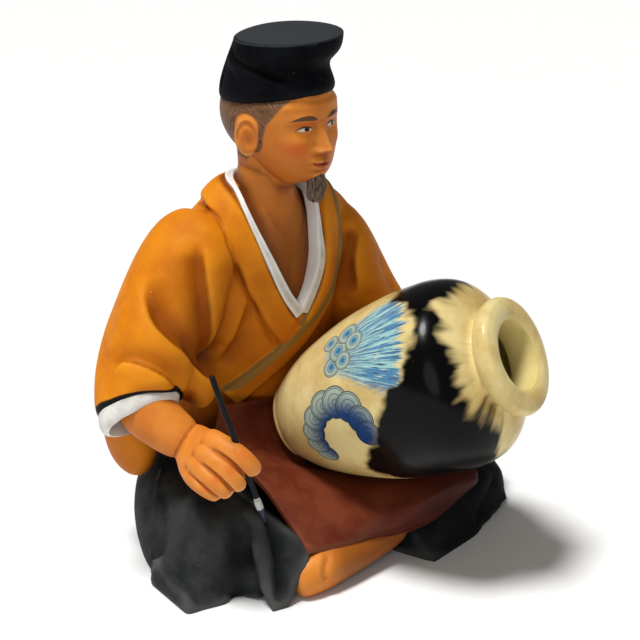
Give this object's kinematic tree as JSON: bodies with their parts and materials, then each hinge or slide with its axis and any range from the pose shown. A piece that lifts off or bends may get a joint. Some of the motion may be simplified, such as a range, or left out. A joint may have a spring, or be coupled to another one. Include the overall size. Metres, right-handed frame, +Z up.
{
  "type": "hakata doll",
  "caption": "Unglazed clay figure of a seated, bearded potter in cap, robe and apron, painting a tall-shouldered jar held on the lap with a fine brush; rests flat on its underside.",
  "frame": {"origin": "On the flat underside, below the middle of the lap, in the plane the doll stands on.", "axes": "+Z up; -Y the way the seated figure faces; +X towards the figure's left hand, the side where the jar's mouth points."},
  "size_m": [0.2074, 0.1854, 0.2377],
  "materials": {
    "painted_clay": "matt mineral paint over unglazed fired clay: orange robe, charcoal trousers, maroon apron, black cap, tan skin",
    "glazed_clay": "glossy cream glaze with a blue and black brush painting",
    "black_wood": "satin black lacquer with a white band",
    "inked_hair": "stiff brush hair wet with dark blue ink"
  },
  "bodies": {
    "root": {"figure": "painted_clay", "jar": "glazed_clay", "brush_handle": "black_wood", "brush_hairs": "inked_hair"}
  },
  "joints": []
}
